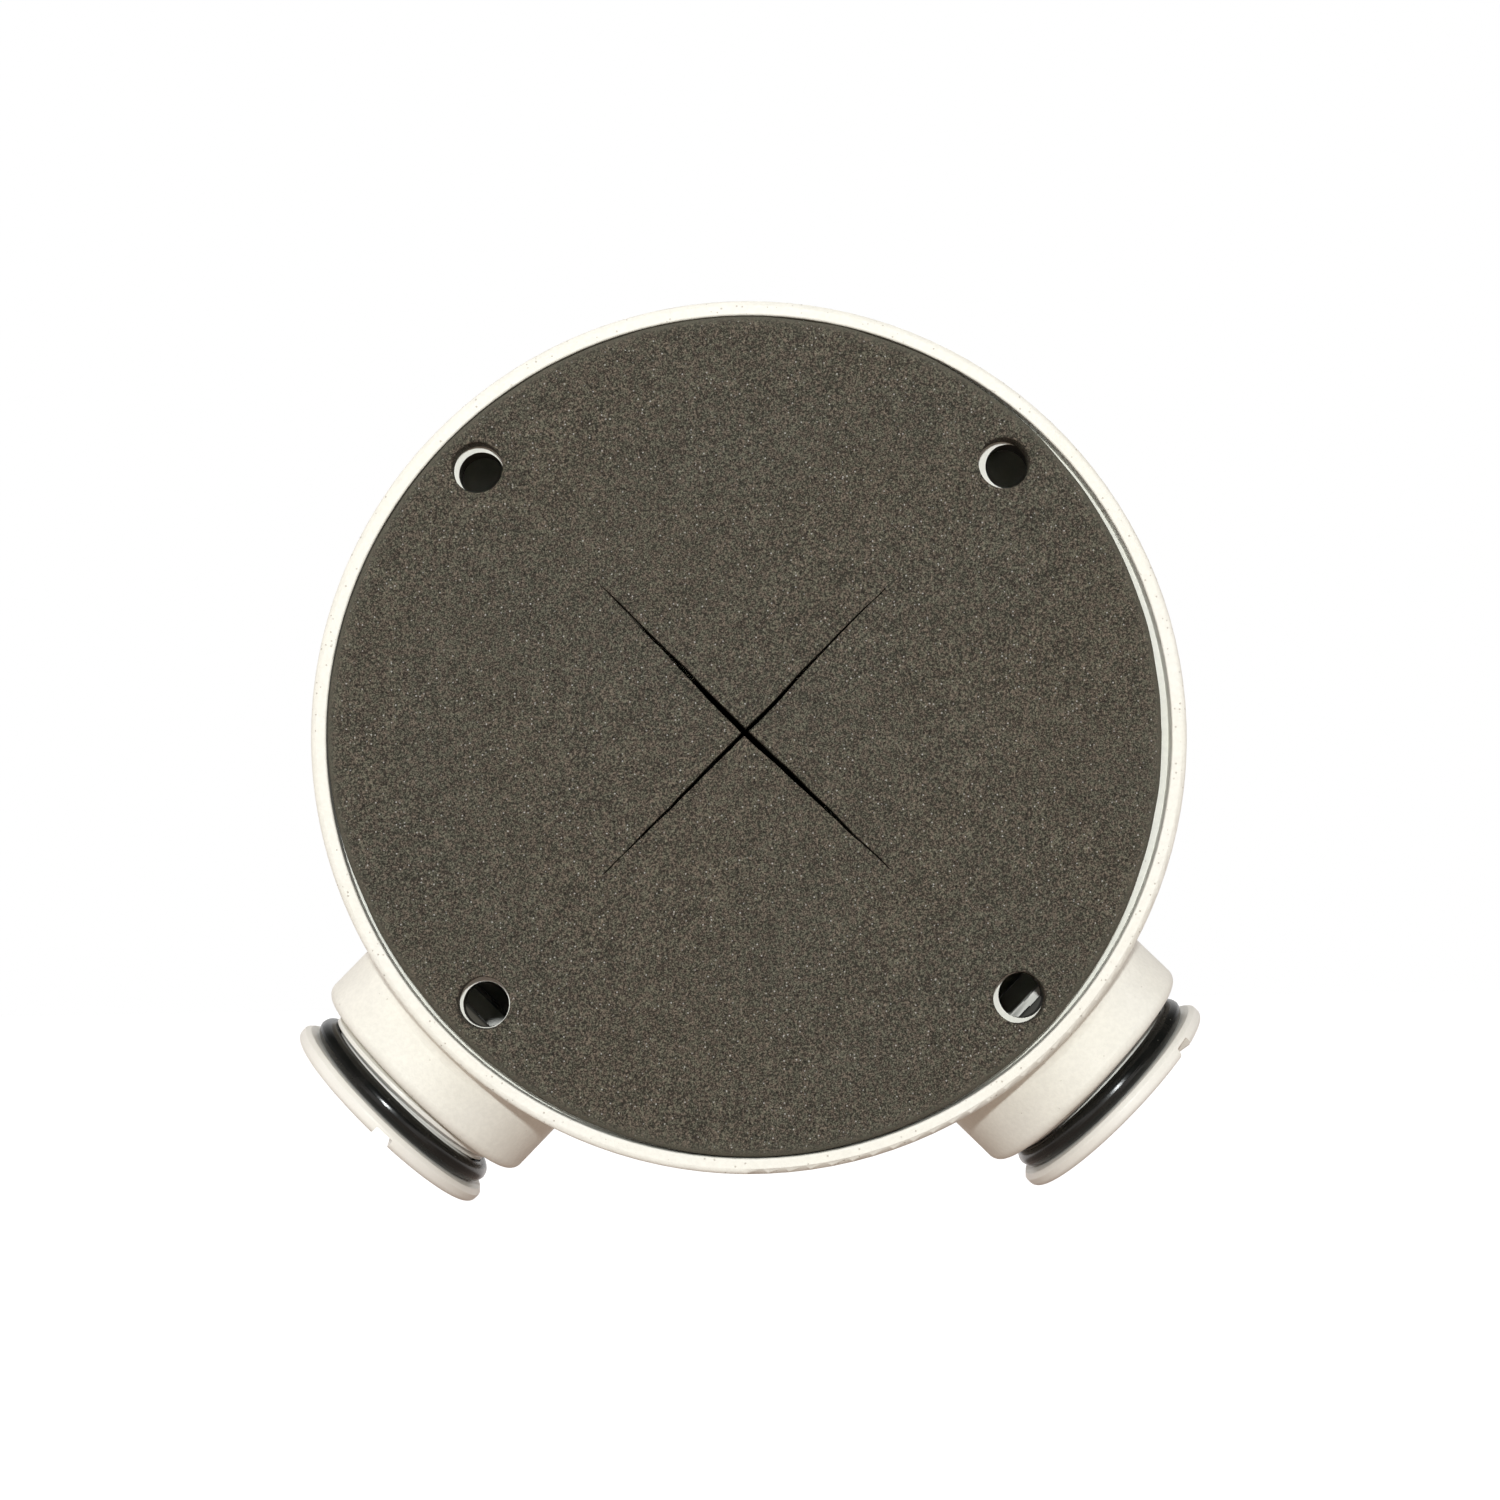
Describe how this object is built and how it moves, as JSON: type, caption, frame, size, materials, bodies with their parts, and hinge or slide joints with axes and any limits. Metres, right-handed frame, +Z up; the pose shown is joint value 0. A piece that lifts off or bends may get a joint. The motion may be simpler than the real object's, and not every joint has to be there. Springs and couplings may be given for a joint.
{
  "type": "camera junction box wall bracket",
  "caption": "Round cast wall box that carries a dome camera: foam wall gasket with a cable cross-cut, threaded conduit entries closed by coin-slot plugs, drilled screw-on cover.",
  "frame": {"origin": "centre of the wall face, in the plane where the gasket meets the wall", "axes": "-Y points into the wall, +Y out through the cover, +Z up; the conduit entries point down to the left and right"},
  "size_m": [0.1158, 0.045, 0.1117],
  "materials": {
    "cast_shell": "off-white textured powder coat on die-cast aluminium",
    "cast_cover": "off-white textured powder coat on die-cast aluminium",
    "foam": "matte closed-cell sponge rubber",
    "cover_rubber": "matte black rubber",
    "plug_plastic": "satin off-white nylon",
    "seal_rubber": "glossy black rubber",
    "screw_steel": "stainless steel",
    "washer_steel": "stainless steel",
    "clip_plastic": "natural nylon",
    "ground_brass": "plain brass"
  },
  "bodies": {
    "box": {"housing": "cast_shell", "cover_plate": "cast_cover", "wall_gasket": "foam", "cover_seal": "cover_rubber", "cover_screw_1": "screw_steel", "cover_screw_2": "screw_steel", "cover_screw_3": "screw_steel", "cover_screw_4": "screw_steel", "cover_washer_1": "washer_steel", "cover_washer_2": "washer_steel", "cover_washer_3": "washer_steel", "cover_washer_4": "washer_steel", "cover_screw_clip_1": "clip_plastic", "cover_screw_clip_2": "clip_plastic", "cover_screw_clip_3": "clip_plastic", "cover_screw_clip_4": "clip_plastic", "ground_screw": "ground_brass", "ground_washer": "washer_steel"},
    "left_seal_ring_body": {"left_plug_seal_ring": "seal_rubber"},
    "left_plug_body": {"left_plug": "plug_plastic"},
    "right_seal_ring_body": {"right_plug_seal_ring": "seal_rubber"},
    "right_plug_body": {"right_plug": "plug_plastic"}
  },
  "joints": [
    {"name": "left_plug_travel", "type": "slide", "parent": "box", "child": "left_seal_ring_body", "axis": [-0.7071, 0, -0.7071], "range_m": [-0.00185, 0.0109]},
    {"name": "left_plug_turn", "type": "hinge", "parent": "left_seal_ring_body", "child": "left_plug_body", "pos_m": [0, 0.02042, 0], "axis": [-0.7071, 0, -0.7071], "range_deg": [-366, 2160]},
    {"name": "right_plug_travel", "type": "slide", "parent": "box", "child": "right_seal_ring_body", "axis": [0.7071, 0, -0.7071], "range_m": [-0.0009, 0.0109]},
    {"name": "right_plug_turn", "type": "hinge", "parent": "right_seal_ring_body", "child": "right_plug_body", "pos_m": [0, 0.02042, 0], "axis": [0.7071, 0, -0.7071], "range_deg": [-178, 2160]}
  ],
  "couplings": [
    {"joint": "left_plug_travel", "follows": "left_plug_turn", "m_per_rad": 0.00028871},
    {"joint": "right_plug_travel", "follows": "right_plug_turn", "m_per_rad": 0.00028871}
  ]
}
